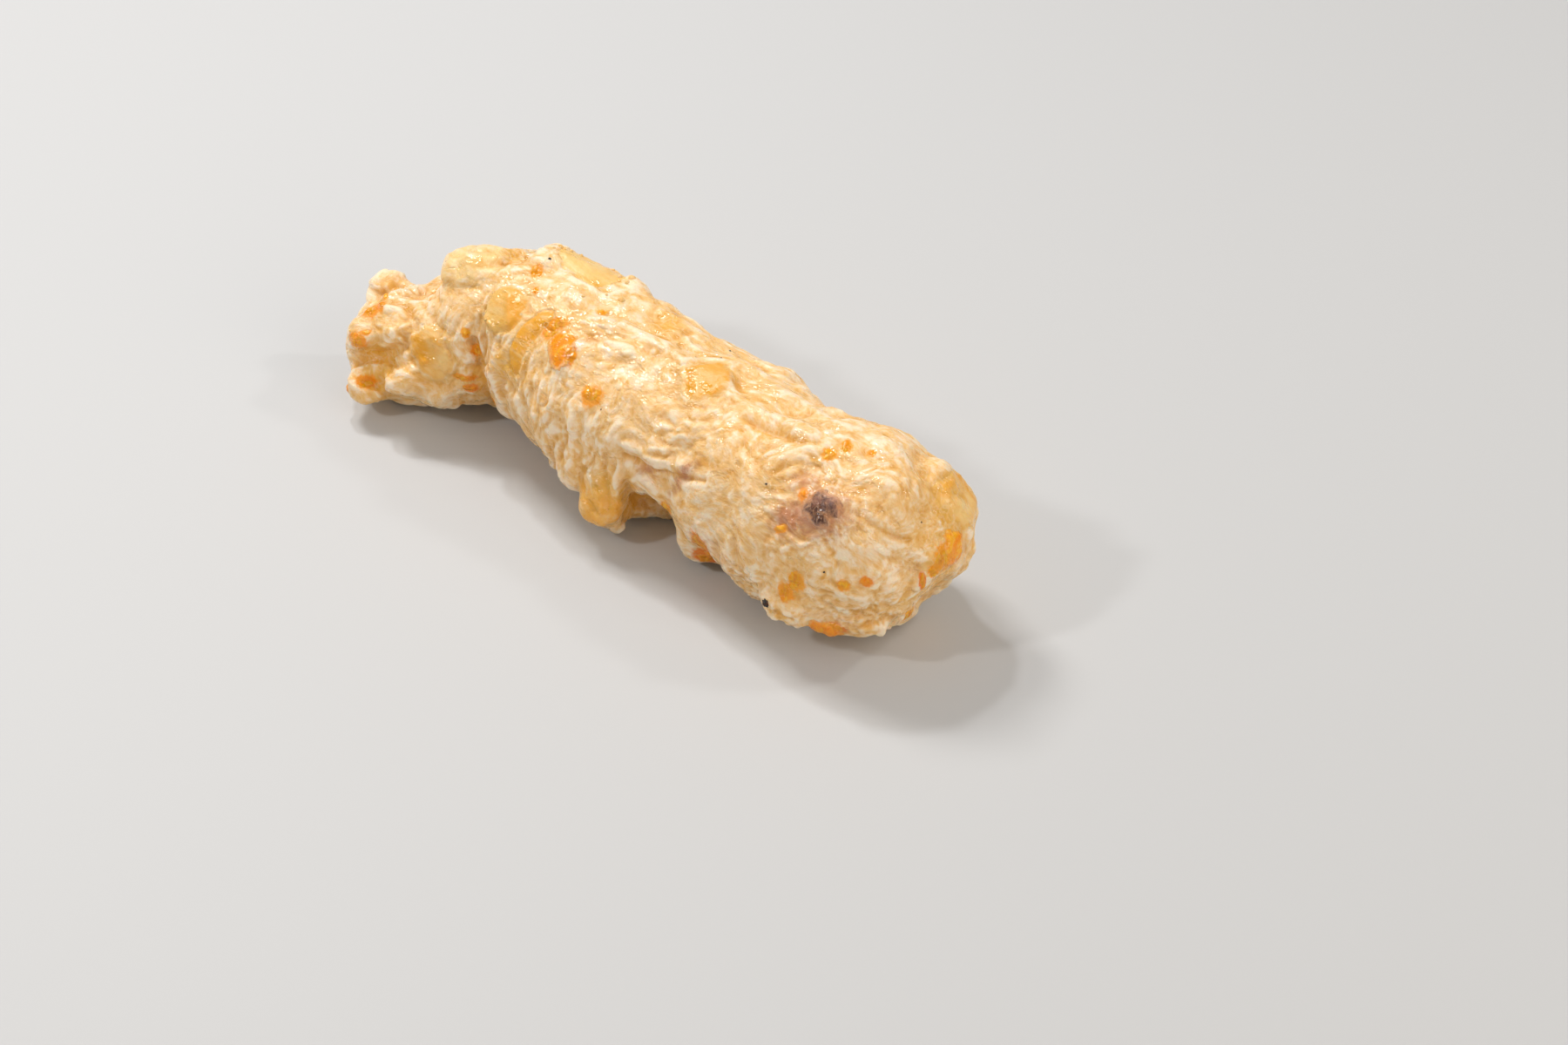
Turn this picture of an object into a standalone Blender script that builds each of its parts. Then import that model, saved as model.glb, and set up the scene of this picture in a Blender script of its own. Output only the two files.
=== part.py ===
"""A hand-shaped fried fish cake: white fish paste with onion, carrot and octopus in it.

The cake is one crooked stick, thick and blunt at its head and drawn out to a thin, lobed tail.
It lies on a flat spot. X runs along it from tail to head, Z is up, and the origin is on the
surface that it lies on, under the middle of its box. Sizes are in millimetres until a mesh is
made. A place on the cake is a distance along its middle line from the tail end, and a clock
angle round it: 0 degrees is the near side (-Y), 90 the top, 180 the far side, 270 the underside.
"""

import math

import bmesh
import bpy
import numpy as np
from mathutils import Matrix, Vector, noise
from mathutils.bvhtree import BVHTree

MM = 0.001

# The middle line from tail to head: x, y, z, half the width and half the height there.
STATIONS = (
    (-62.7, -13.8, 8.3, 9.0, 8.0),
    (-56.7, -9.5, 9.0, 10.4, 9.3),
    (-50.2, -5.3, 10.8, 11.6, 10.6),
    (-43.7, -0.3, 13.3, 13.2, 12.6),
    (-35.7, 3.7, 15.8, 14.8, 14.4),
    (-23.7, 4.2, 16.3, 15.8, 15.6),
    (-9.7, 1.8, 15.3, 16.4, 16.0),
    (2.3, 1.4, 15.0, 16.6, 16.0),
    (15.8, 3.0, 15.0, 17.8, 16.2),
    (28.3, 0.3, 15.2, 16.0, 16.5),
    (38.8, 0.6, 15.8, 17.6, 17.2),
    (47.8, 2.2, 16.3, 17.8, 16.8),
    (56.3, 6.2, 17.0, 16.2, 15.2),
    (63.0, 11.3, 18.9, 13.2, 12.4),
)
TAIL_ROUNDING = 9.0
HEAD_ROUNDING = 16.0
RING_STEP = 2.0
RING_SIDES = 48

# Lumps of paste and hidden onion that swell the stick, fused to it. Each has its place along and
# round the cake, how far out its middle lies as a share of the surface's distance, and its half
# sizes along, round and out.
LUMPS = {
    "tail hood": (7.2, 134, 1.00, 4.6, 3.6, 4.8),
    "tail upper lobe": (4.8, 54, 0.78, 3.2, 3.8, 3.0),
    "tail lower lobe": (5.0, 342, 0.86, 4.4, 3.6, 4.2),
    "tail crumb mound": (14.0, 2, 0.96, 5.0, 3.6, 3.2),
    "tail under crust": (17.0, 336, 0.92, 4.6, 4.0, 3.0),
    "onion bulge behind the tail": (28.6, 98, 0.88, 6.2, 5.8, 3.8),
    "summit": (38.5, 102, 0.88, 4.6, 5.5, 3.2),
    "crumbs past the slab": (50.5, 120, 1.01, 3.2, 2.6, 2.4),
    "ridge past the summit": (57.0, 121, 0.93, 4.5, 4.0, 2.8),
    "amber bulge": (62.5, 128, 0.95, 8.0, 4.5, 3.2),
    "far shoulder": (76.0, 131, 0.93, 7.0, 4.5, 2.2),
    "loop under the waist": (71.3, 328, 1.03, 5.6, 4.8, 4.6),
    "waist": (64.5, 340, 0.98, 4.0, 4.0, 2.8),
    "belly": (89.5, 319, 0.97, 5.6, 4.8, 3.4),
    "chin behind the head": (102.0, 318, 0.93, 4.0, 4.0, 2.2),
    "head corner": (112.0, 336, 0.96, 5.0, 3.6, 4.0),
    "head hem": (119.0, 330, 0.94, 7.5, 3.4, 2.8),
    "head shoulder": (129.5, 122, 0.84, 4.0, 5.0, 3.4),
    "head onion bulge": (131.0, 160, 0.45, 4.8, 5.5, 5.5),
    "knuckle": (59.0, 52, 0.90, 4.5, 4.5, 3.0),
}

# Hollows and creases pressed into it: place, depth, half sizes along and round, and the turn of
# the hollow's long side from the cake's length.
HOLLOWS = {
    "tail valley": (8.5, 22, 2.6, 6.0, 2.2, -12),
    "tail pocket": (6.0, 352, 2.6, 2.6, 1.6, 10),
    "hood face": (7.5, 112, 1.6, 4.0, 2.2, 10),
    "crease at the elbow": (30.5, 8, 2.6, 2.2, 8.0, -12),
    "loop hollow": (78.5, 328, 6.0, 4.0, 7.0, 8),
    "gap beside the loop": (75.4, 312, 3.6, 2.0, 6.0, 8),
    "nick past the belly": (96.5, 326, 2.2, 2.4, 5.0, 0),
    "undercut of the head": (129.0, 314, 3.8, 6.0, 8.0, 0),
    "dip before the bulge": (18.6, 100, 3.0, 3.4, 6.0, 0),
    "loop brow": (72.5, 6, 1.4, 4.5, 1.8, 12),
    "red crease": (80.0, 14, 1.3, 6.5, 1.4, -6),
    "long fold": (96.0, 100, 1.3, 11.0, 2.0, 6),
    "second fold": (84.0, 118, 1.1, 9.0, 1.8, -8),
    "dimple over the octopus": (112.0, 62, 1.0, 5.0, 3.0, 0),
    "head dent": (126.0, 20, 1.2, 2.4, 5.0, 10),
    "tip of the head": (134.3, 320, 1.8, 6.0, 6.0, 0),
    "heel of the head": (128.0, 285, 2.2, 5.0, 6.0, 0),
    "dip in the back": (88.6, 138, 1.0, 5.0, 6.0, 0),
    "notch by the summit": (34.6, 102, 1.2, 2.2, 5.0, 0),
    "far side crease": (50.0, 196, 1.8, 2.4, 8.0, 14),
    "far side fold": (98.0, 186, 1.6, 10.0, 2.2, -10),
}
HOLLOW_REACH = 5.0

# Pieces that show in the paste as separate things: the onion, three bits of carrot and one piece
# of octopus. Each has its place, half sizes along, round and out, the turn of its long side, how
# far its middle lies under the surface, how square it is (1 is round) and how far its ends curl
# along the cake. Each fills a pocket of its own, and its outer face follows the cake's. Those on
# the head's end are found by a spoke that leans towards it, by these degrees.
PIECES = {
    "onion_slab": (43.2, 113, 6.4, 3.6, 2.2, -8, 0.6, 0.45, 0.0),
    "onion_bulge": (28.0, 88, 5.8, 4.6, 2.8, 0, 1.0, 0.80, 0.0),
    "onion_chunk": (38.9, 48, 3.6, 3.7, 2.2, 10, 0.6, 0.60, 0.0),
    "onion_strip": (47.2, 39, 1.3, 5.8, 1.8, 0, 0.4, 0.60, 1.4),
    "onion_wedge": (18.9, 22, 3.0, 4.5, 2.0, 18, 0.4, 0.60, 0.0),
    "onion_patch": (81.7, 78, 3.4, 3.9, 2.0, 50, 0.6, 0.45, 0.0),
    "onion_end": (122.0, 114, 4.0, 5.4, 3.2, 0, 1.2, 0.70, 0.0),
    "onion_loop": (71.0, 342, 4.0, 4.0, 3.0, 10, 1.0, 0.75, 0.0),
    "carrot_block": (56.2, 51.6, 1.5, 2.9, 1.3, 52, 0.2, 0.60, 0.0),
    "carrot_end": (122.0, 29, 1.8, 2.5, 1.3, 0, 0.2, 0.70, 0.0),
    "carrot_low": (116.6, 329, 2.2, 1.6, 1.3, 0, 0.2, 0.70, 0.0),
    "octopus_piece": (115.9, 43, 2.9, 2.7, 1.8, -30, 0.5, 0.80, 0.0),
}
LEANS = {"onion_end": 52, "carrot_end": 62}
GIRTH_RADIUS = 16.0
FINE_OVER = 3.2
POCKET_GAP = 0.3
PROUD = 0.25

# Base colours, linear, and how rough each is.
PASTE_COLOUR = (0.80, 0.58, 0.33)
PIECE_COLOURS = {
    "onion": (0.78, 0.46, 0.14),
    "carrot": (0.85, 0.30, 0.02),
    "octopus": (0.22, 0.10, 0.08),
}
PASTE_ROUGHNESS = 0.45
PIECE_ROUGHNESS = 0.25

# Wrinkles that the frying drew up in the skin: wave lengths and heights.
LUMP_WAVE, LUMP_HEIGHT = 10.0, 0.9
FOLD_LENGTH, FOLD_WIDTH, FOLD_HEIGHT = 10.0, 5.0, 0.7
WARP_WAVE, WARP_REACH = 11.0, 3.0
NOISE_SEED = 5

# The fineness of the shaping mesh, the facets that are kept of it, and the height under which a
# point of the underside is on the flat that the cake lies on.
SHAPING_VOXEL = 0.9
CAKE_TRIANGLES = 8000
FLAT_WITHIN = 0.12


def curve_through(knots, rows, at):
    """The smooth curve through rows at knots, read at the places in at."""
    slopes = np.gradient(rows, knots, axis=0)
    i = np.clip(np.searchsorted(knots, at, side="right") - 1, 0, len(knots) - 2)
    width = (knots[i + 1] - knots[i])[:, None]
    t = (at - knots[i])[:, None] / width
    start = (1 + 2 * t) * (1 - t) ** 2 * rows[i] + t * (1 - t) ** 2 * width * slopes[i]
    end = t * t * (3 - 2 * t) * rows[i + 1] + t * t * (t - 1) * width * slopes[i + 1]
    return start + end


def station_knots():
    rows = np.array(STATIONS)
    steps = np.linalg.norm(np.diff(rows[:, :3], axis=0), axis=1)
    return np.concatenate([[0.0], np.cumsum(steps)]), rows


def rounding(at, length):
    """The share of the full girth there: 1 along the cake, and down to 0 at its round ends."""
    tail = 1 - np.clip(at / TAIL_ROUNDING, 0, 1)
    head = 1 - np.clip((length - at) / HEAD_ROUNDING, 0, 1)
    return np.sqrt(1 - tail**2) * np.sqrt(1 - head**2)


def middle_line(at):
    """Centres, tangents, sides, ups, half widths and half heights at the distances in at."""
    knots, rows = station_knots()
    at = np.asarray(at, float)
    read = curve_through(knots, rows, at)
    tangent = (curve_through(knots, rows, at + 0.5) - curve_through(knots, rows, at - 0.5))[:, :3]
    tangent /= np.linalg.norm(tangent, axis=1)[:, None]
    side = np.cross(tangent, (0.0, 0.0, 1.0))
    side /= np.linalg.norm(side, axis=1)[:, None]
    up = np.cross(side, tangent)
    share = rounding(at, knots[-1])
    return read[:, :3], tangent, side, up, read[:, 3] * share, read[:, 4] * share


def place_on(along, clock, out=1.0, turn=0.0):
    """The point there, and the ways along, round and out of the cake's surface, turned about out."""
    centre, tangent, side, up, wide, high = (row[0] for row in middle_line([along]))
    angle = math.radians(clock)
    spoke = side * wide * math.cos(angle) + up * high * math.sin(angle)
    outward = Vector(side * math.cos(angle) + up * math.sin(angle)).normalized()
    point = Vector(centre + spoke * out)
    along_way = Matrix.Rotation(math.radians(turn), 3, outward) @ Vector(tangent)
    return point, along_way, outward.cross(along_way).normalized(), outward


def object_from(name, points, faces):
    mesh = bpy.data.meshes.new(name)
    mesh.from_pydata([tuple(p * MM) for p in points], [], faces)
    obj = bpy.data.objects.new(name, mesh)
    bpy.context.scene.collection.objects.link(obj)
    return obj


def core():
    """Points and faces of the bare stick: rings round the middle line, closed at both ends."""
    length = station_knots()[0][-1]
    turn = np.linspace(0, math.pi / 2, 10)[1:]
    tail = TAIL_ROUNDING * (1 - np.cos(turn))
    head = length - HEAD_ROUNDING * (1 - np.cos(turn[::-1]))
    between = np.arange(tail[-1] + RING_STEP, head[0] - RING_STEP / 2, RING_STEP)
    at = np.concatenate([tail, between, head])
    centre, _, side, up, wide, high = middle_line(at)
    around = np.linspace(0, 2 * math.pi, RING_SIDES, endpoint=False)
    rings = (
        centre[:, None]
        + side[:, None] * wide[:, None, None] * np.cos(around)[None, :, None]
        + up[:, None] * high[:, None, None] * np.sin(around)[None, :, None]
    )
    ends = middle_line([0.0, length])[0]
    points = np.concatenate([rings.reshape(-1, 3), ends])
    count = len(at)
    faces = []
    for ring in range(count - 1):
        for k in range(RING_SIDES):
            a, b = ring * RING_SIDES + k, ring * RING_SIDES + (k + 1) % RING_SIDES
            faces.append((a, b, b + RING_SIDES, a + RING_SIDES))
    first_end, last_end = count * RING_SIDES, count * RING_SIDES + 1
    last_ring = (count - 1) * RING_SIDES
    for k in range(RING_SIDES):
        after = (k + 1) % RING_SIDES
        faces.append((first_end, after, k))
        faces.append((last_end, last_ring + k, last_ring + after))
    return points, faces


def squared_ball(half_sizes, squareness, detail):
    """Points and faces of a ball drawn towards a box: 1 is round, and less is squarer."""
    ball = bmesh.new()
    bmesh.ops.create_icosphere(ball, subdivisions=detail, radius=1.0)
    unit = np.array([v.co for v in ball.verts])
    faces = [tuple(v.index for v in f.verts) for f in ball.faces]
    ball.free()
    points = np.sign(unit) * np.abs(unit) ** squareness
    return points * np.array(half_sizes), faces


def placed(points, place):
    """Points turned and moved from their own axes to a place on the cake."""
    point, along_way, round_way, outward = place
    axes = np.array([along_way, round_way, outward])
    return points @ axes + np.array(point)


def points_of(mesh):
    """The mesh's points in millimetres, and its normals there."""
    count = len(mesh.vertices)
    points, normals = np.empty(count * 3, np.float32), np.empty(count * 3, np.float32)
    mesh.vertices.foreach_get("co", points)
    mesh.vertex_normals.foreach_get("vector", normals)
    return points.reshape(-1, 3) / MM, normals.reshape(-1, 3)


def read_back(obj):
    """The object's points and normals, once its modifiers have been made part of its mesh."""
    graph = bpy.context.evaluated_depsgraph_get()
    mesh = bpy.data.meshes.new_from_object(obj.evaluated_get(graph))
    obj.modifiers.clear()
    obj.data = mesh
    return points_of(mesh)


def set_points(obj, points):
    obj.data.vertices.foreach_set("co", (points * MM).astype(np.float32).ravel())
    obj.data.update()


def fused_stick():
    """The stick and its lumps as one skin, smoothed where they meet."""
    points, faces = core()
    all_points, all_faces = [points], list(faces)
    for along, clock, out, *half_sizes in LUMPS.values():
        lump, lump_faces = squared_ball(half_sizes, 0.92, 3)
        start = sum(len(p) for p in all_points)
        all_points.append(placed(lump, place_on(along, clock, out)))
        all_faces += [tuple(i + start for i in face) for face in lump_faces]
    stick = object_from("fish_cake", np.concatenate(all_points), all_faces)
    remesh = stick.modifiers.new("skin", "REMESH")
    remesh.mode = "VOXEL"
    remesh.voxel_size = SHAPING_VOXEL * MM
    smooth = stick.modifiers.new("soften", "SMOOTH")
    smooth.factor = 0.6
    smooth.iterations = 6
    return stick


def hollowed(points, normals):
    """Points with those near a hollow or crease pressed in along their normals."""
    depth = np.zeros(len(points))
    for along, clock, deep, half_length, half_width, turn in HOLLOWS.values():
        point, along_way, round_way, outward = place_on(along, clock, 1.0, turn)
        from_it = points - np.array(point)
        u = from_it @ np.array(along_way) / half_length
        v = from_it @ np.array(round_way) / half_width
        w = from_it @ np.array(outward) / HOLLOW_REACH
        depth += deep * np.exp(-(u * u + v * v + w * w))
    return points - normals * depth[:, None]


def wrinkle(point, normal):
    """The height of the drawn-up skin there. Folds run along the cake on top and down its sides."""
    p = Vector(point)
    p += noise.noise_vector(p / WARP_WAVE) * WARP_REACH
    lump = noise.noise(p / LUMP_WAVE)
    over = noise.noise(Vector((p.x / FOLD_LENGTH, p.y / FOLD_WIDTH, p.z / FOLD_WIDTH)))
    down = noise.noise(Vector((p.x / FOLD_WIDTH, p.y / FOLD_LENGTH, p.z / FOLD_LENGTH)))
    sideways = min(1.0, abs(normal[1]) ** 1.5)
    fold = over * (1 - sideways) + down * sideways
    return LUMP_HEIGHT * lump + FOLD_HEIGHT * (abs(fold) * 2.4 - 0.4)


def wrinkled(points, normals):
    noise.seed_set(NOISE_SEED)
    heights = np.array([wrinkle(p, n) for p, n in zip(points, normals)])
    return points + normals * heights[:, None]


def fish_cake():
    stick = fused_stick()
    points, normals = read_back(stick)
    points = hollowed(points, normals)
    set_points(stick, points)
    points, normals = read_back(stick)
    points = wrinkled(points, normals)
    points[:, 2] = np.maximum(points[:, 2], 0.0)
    set_points(stick, points)
    thin = stick.modifiers.new("facets", "DECIMATE")
    thin.ratio = CAKE_TRIANGLES / sum(len(p.vertices) - 2 for p in stick.data.polygons)
    points, _ = read_back(stick)
    points[points[:, 2] < FLAT_WITHIN, 2] = 0.0
    set_points(stick, points)
    return stick


def seat_on(skin, along, clock, turn, lean):
    """The point where a spoke leaves the finished cake, and the ways along, round and out there."""
    middle, along_way, _, outward = place_on(along, clock, 0.0)
    spoke = outward * math.cos(math.radians(lean)) + along_way * math.sin(math.radians(lean))
    hit, normal, _, _ = skin.ray_cast(middle * MM, spoke)
    along_way -= normal * along_way.dot(normal)
    along_way = Matrix.Rotation(math.radians(turn), 3, normal) @ along_way.normalized()
    return hit / MM, along_way, normal.cross(along_way), normal


def piece_points(name, extra, skin):
    """Points and faces of the whole piece, curved as the cake is, with half sizes larger by extra."""
    along, clock, long, wide, thick, turn, sunk, squareness, curl = PIECES[name]
    detail = 3 if max(long, wide) > FINE_OVER else 2
    points, faces = squared_ball((long + extra, wide + extra, thick + extra), squareness, detail)
    angle = math.radians(turn)
    round_way = points[:, 0] * math.sin(angle) + points[:, 1] * math.cos(angle)
    points[:, 2] -= round_way**2 / (2 * GIRTH_RADIUS)
    points[:, 0] += curl * (points[:, 1] / wide) ** 2
    point, *axes = seat_on(skin, along, clock, turn, LEANS.get(name, 0))
    return placed(points, (point - axes[2] * sunk, *axes)), faces


def flush(points, skin):
    """Points with those that stand out of the cake drawn down to just proud of its skin."""
    drawn = []
    for p in points:
        near, normal, _, _ = skin.find_nearest(Vector(p) * MM)
        out = (Vector(p) * MM - near).dot(normal)
        drawn.append((near + normal * PROUD * MM) / MM if out > PROUD * MM else Vector(p))
    return np.array(drawn)


def piece_in_pocket(name, cake, skin):
    points, faces = piece_points(name, 0.0, skin)
    piece = object_from(name, flush(points, skin), faces)
    cutter = object_from(name + "_pocket", *piece_points(name, POCKET_GAP, skin))
    cutter.hide_render = True
    cutter.display_type = "WIRE"
    pocket = cake.modifiers.new(name + "_pocket", "BOOLEAN")
    pocket.operation = "DIFFERENCE"
    pocket.solver = "EXACT"
    pocket.object = cutter
    return piece


def finish(obj, colour, roughness):
    """Smooth shading, and a plain material of the object's own."""
    material = bpy.data.materials.new(obj.name)
    material.use_nodes = True
    surface = material.node_tree.nodes["Principled BSDF"]
    surface.inputs["Base Color"].default_value = (*colour, 1.0)
    surface.inputs["Roughness"].default_value = roughness
    surface.inputs["Metallic"].default_value = 0.0
    obj.data.materials.append(material)
    obj.data.shade_smooth()


def moved_to_origin(objects):
    """Moves every mesh so that the middle of the cake's box is over the origin."""
    cake = bpy.data.objects["fish_cake"]
    points, _ = points_of(cake.data)
    middle = (points.min(axis=0) + points.max(axis=0)) / 2
    for obj in objects:
        obj.data.transform(Matrix.Translation((-middle[0] * MM, -middle[1] * MM, 0.0)))


def main():
    for obj in list(bpy.data.objects):
        bpy.data.objects.remove(obj)
    cake = fish_cake()
    skin = BVHTree.FromObject(cake, bpy.context.evaluated_depsgraph_get())
    finish(cake, PASTE_COLOUR, PASTE_ROUGHNESS)
    for name in PIECES:
        piece = piece_in_pocket(name, cake, skin)
        finish(piece, PIECE_COLOURS[name.split("_")[0]], PIECE_ROUGHNESS)
    moved_to_origin(list(bpy.data.objects))


main()
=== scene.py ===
"""A hand-shaped fried fish cake, dressed over its solids. Sizes are in millimetres."""

import math

import bmesh
import bpy
import numpy as np
from mathutils import Matrix, Vector, noise
from mathutils.bvhtree import BVHTree
from mathutils.kdtree import KDTree


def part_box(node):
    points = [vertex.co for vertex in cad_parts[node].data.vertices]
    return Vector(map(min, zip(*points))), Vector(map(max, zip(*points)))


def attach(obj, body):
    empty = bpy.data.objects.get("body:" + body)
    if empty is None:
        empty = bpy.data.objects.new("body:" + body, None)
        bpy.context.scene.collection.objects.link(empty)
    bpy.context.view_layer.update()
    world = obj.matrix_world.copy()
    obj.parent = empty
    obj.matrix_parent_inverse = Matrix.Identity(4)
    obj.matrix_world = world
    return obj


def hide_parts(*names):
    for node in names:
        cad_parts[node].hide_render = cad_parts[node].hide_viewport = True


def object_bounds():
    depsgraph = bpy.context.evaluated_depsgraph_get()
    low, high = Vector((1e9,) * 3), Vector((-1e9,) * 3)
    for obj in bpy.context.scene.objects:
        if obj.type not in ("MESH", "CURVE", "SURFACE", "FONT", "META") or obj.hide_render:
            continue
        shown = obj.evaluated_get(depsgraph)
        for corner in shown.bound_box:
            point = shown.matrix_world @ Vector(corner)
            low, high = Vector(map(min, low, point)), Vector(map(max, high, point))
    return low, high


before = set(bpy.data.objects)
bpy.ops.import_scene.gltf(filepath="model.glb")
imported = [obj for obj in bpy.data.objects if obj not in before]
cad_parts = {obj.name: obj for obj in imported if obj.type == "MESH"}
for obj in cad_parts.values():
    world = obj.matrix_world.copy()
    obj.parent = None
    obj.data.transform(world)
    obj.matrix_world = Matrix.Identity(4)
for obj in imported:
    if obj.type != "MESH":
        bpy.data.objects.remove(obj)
cad_box = [list(corner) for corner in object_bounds()]
MM = 0.001

# The place that the cake is seen from. It stands at the photograph's angle, and a line of sight
# through a pixel of that photograph finds the spot on the cake that a piece belongs to.
PHOTO_MIDDLE_PIXEL = (900, 600)
LENS, SENSOR_WIDTH = 100, 36
PIXELS_PER_SLOPE = 2 * PHOTO_MIDDLE_PIXEL[0] * LENS / SENSOR_WIDTH
CAMERA_TURN = math.radians(43)
CAMERA_DROP = math.radians(37.6)
CAMERA_DISTANCE = 742
CAKE_MIDDLE = Vector((3.8, -1.8, 14.8))
CAKE_MIDDLE_PIXEL = (759, 504)
MM_PER_PIXEL = CAMERA_DISTANCE / PIXELS_PER_SLOPE
NEAREST_SEEN = 50

across = Vector((math.cos(CAMERA_TURN), math.sin(CAMERA_TURN), 0))
level = Vector((-math.sin(CAMERA_TURN), math.cos(CAMERA_TURN), 0))
forward = level * math.cos(CAMERA_DROP) - Vector((0, 0, math.sin(CAMERA_DROP)))
upward = across.cross(forward)


def sight(pixel):
    """The direction, not of unit length, in which the photograph's camera sees a pixel."""
    right = (pixel[0] - PHOTO_MIDDLE_PIXEL[0]) / PIXELS_PER_SLOPE
    above = (PHOTO_MIDDLE_PIXEL[1] - pixel[1]) / PIXELS_PER_SLOPE
    return forward + across * right + upward * above


eye = CAKE_MIDDLE - sight(CAKE_MIDDLE_PIXEL) * CAMERA_DISTANCE
camera = bpy.data.objects.new("camera", bpy.data.cameras.new("camera"))
bpy.context.scene.collection.objects.link(camera)
camera.data.sensor_width = SENSOR_WIDTH
camera.data.lens = LENS
camera.data.clip_start = NEAREST_SEEN * MM
camera_turned = Matrix((across, upward, -forward)).transposed().to_4x4()
camera.matrix_world = Matrix.Translation(eye * MM) @ camera_turned
bpy.context.scene.camera = camera

# The cake's own body: pounded white fish, kneaded with salt and starch, shaped in a wet hand and
# fried. The frying set a thin skin that dried into soft puffs and creases, whitish where it is
# drawn thin and amber where the paste shows through, with deeper amber painted in as shade in
# the creases, hollows and on the low sides. The solid under it gives the form.
PIECE_NODES = [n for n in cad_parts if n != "fish_cake"]
SAME_CORNER = 0.002
PIECE_SWELLING = 0.45
SKIN_VOXEL = 0.36
SKIN_SMOOTHINGS = 18
MOST_NEIGHBOURS = 8
FOLD_WARP, FOLD_WARP_WAVE = 2.6, 9.0
CURL_WARP, CURL_WARP_WAVE = 0.7, 3.2
# How long and wide each size of puff is, and how high it stands.
PUFFS = ((6.5, 3.2, 0.30), (3.1, 1.7, 0.17), (1.5, 0.95, 0.09))
PUFF_STEEPNESS, PUFF_LEVEL = 2.6, 0.5
PUFFY_PLACE_WAVE = 13.0
RIPPLE_LONG, RIPPLE_WIDE, RIPPLE_HEIGHT = 14.0, 4.2, 0.45
RIPPLE_STEEPNESS, RIPPLE_LEVEL = 2.2, 0.4


def mesh_points(mesh):
    """The mesh's points in millimetres, and its normals there."""
    count = len(mesh.vertices)
    points, normals = np.empty(count * 3, np.float32), np.empty(count * 3, np.float32)
    mesh.vertices.foreach_get("co", points)
    mesh.vertex_normals.foreach_get("vector", normals)
    return points.reshape(-1, 3).astype(float) / MM, normals.reshape(-1, 3).astype(float)


def move_points(mesh, points):
    mesh.vertices.foreach_set("co", (points * MM).astype(np.float32).ravel())
    mesh.update()


def piece_from(name, points, faces):
    mesh = bpy.data.meshes.new(name)
    mesh.from_pydata([tuple(p) for p in np.asarray(points) * MM], [], faces)
    piece = bpy.data.objects.new(name, mesh)
    bpy.context.scene.collection.objects.link(piece)
    return piece


def swollen_copy(node, name, swelling):
    """A copy of the node's body, its corners joined, swollen along its normals."""
    piece = bpy.data.objects.new(name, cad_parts[node].data.copy())
    bpy.context.scene.collection.objects.link(piece)
    joined = bmesh.new()
    joined.from_mesh(piece.data)
    bmesh.ops.remove_doubles(joined, verts=joined.verts, dist=SAME_CORNER * MM)
    joined.to_mesh(piece.data)
    joined.free()
    piece.data.materials.clear()
    piece.data.shade_smooth()
    at, normals = mesh_points(piece.data)
    move_points(piece.data, at + normals * swelling)
    return piece


def keep_shape(piece):
    """Makes the shape that the piece's modifiers give it its own."""
    graph = bpy.context.evaluated_depsgraph_get()
    piece.data = bpy.data.meshes.new_from_object(piece.evaluated_get(graph))
    piece.modifiers.clear()


def fuse(whole, parts):
    """Joins the parts to the whole, so that only the outer shape of all of them is left."""
    group = bpy.data.collections.new("parts to join")
    for part in parts:
        group.objects.link(part)
    union = whole.modifiers.new("join", "BOOLEAN")
    union.operation = "UNION"
    union.solver = "EXACT"
    union.operand_type = "COLLECTION"
    union.collection = group
    keep_shape(whole)
    for part in parts:
        bpy.data.objects.remove(part)
    bpy.data.collections.remove(group)


def edges_of(mesh):
    edges = np.empty(len(mesh.edges) * 2, np.int32)
    mesh.edges.foreach_get("vertices", edges)
    return edges.reshape(-1, 2)


def drop_inner(mesh):
    """Drops what isn't joined to the highest point, such as the walls of a closed pocket."""
    edges = edges_of(mesh)
    both = np.concatenate([edges, edges[:, ::-1]])
    both = both[np.argsort(both[:, 0], kind="stable")]
    first = np.searchsorted(both[:, 0], np.arange(len(mesh.vertices)))
    last = np.searchsorted(both[:, 0], np.arange(len(mesh.vertices)), side="right")
    joined = np.zeros(len(mesh.vertices), bool)
    front = np.array([np.argmax(mesh_points(mesh)[0][:, 2])])
    while len(front):
        joined[front] = True
        places = first[front][:, None] + np.arange(MOST_NEIGHBOURS)
        front = np.unique(both[places[places < last[front][:, None]], 1])
        front = front[~joined[front]]
    cut = bmesh.new()
    cut.from_mesh(mesh)
    cut.verts.ensure_lookup_table()
    bmesh.ops.delete(cut, geom=[cut.verts[k] for k in np.nonzero(~joined)[0]], context="VERTS")
    cut.to_mesh(mesh)
    cut.free()


def reskinned(piece, voxel, smoothings):
    """Gives the piece one even closed mesh of its outer shape, smoothed."""
    remesh = piece.modifiers.new("even mesh", "REMESH")
    remesh.mode = "VOXEL"
    remesh.voxel_size = voxel * MM
    soften = piece.modifiers.new("soften", "SMOOTH")
    soften.factor = 0.5
    soften.iterations = smoothings
    keep_shape(piece)
    drop_inner(piece.data)
    return piece.data


def waves(points):
    """Smooth noise from about -0.7 to 0.7 at each point."""
    return np.array([noise.noise(p) for p in points.tolist()])


def stirred(points, wave, reach, seed):
    """Points carried aside by slow noise, as paste is by stirring."""
    offsets = [waves(points / wave + seed + shift) for shift in (0.0, 31.7, 67.3)]
    return points + np.stack(offsets, axis=1) * reach


def smooth_step(low, high, value):
    t = np.clip((value - low) / (high - low), 0, 1)
    return t * t * (3 - 2 * t)


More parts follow.
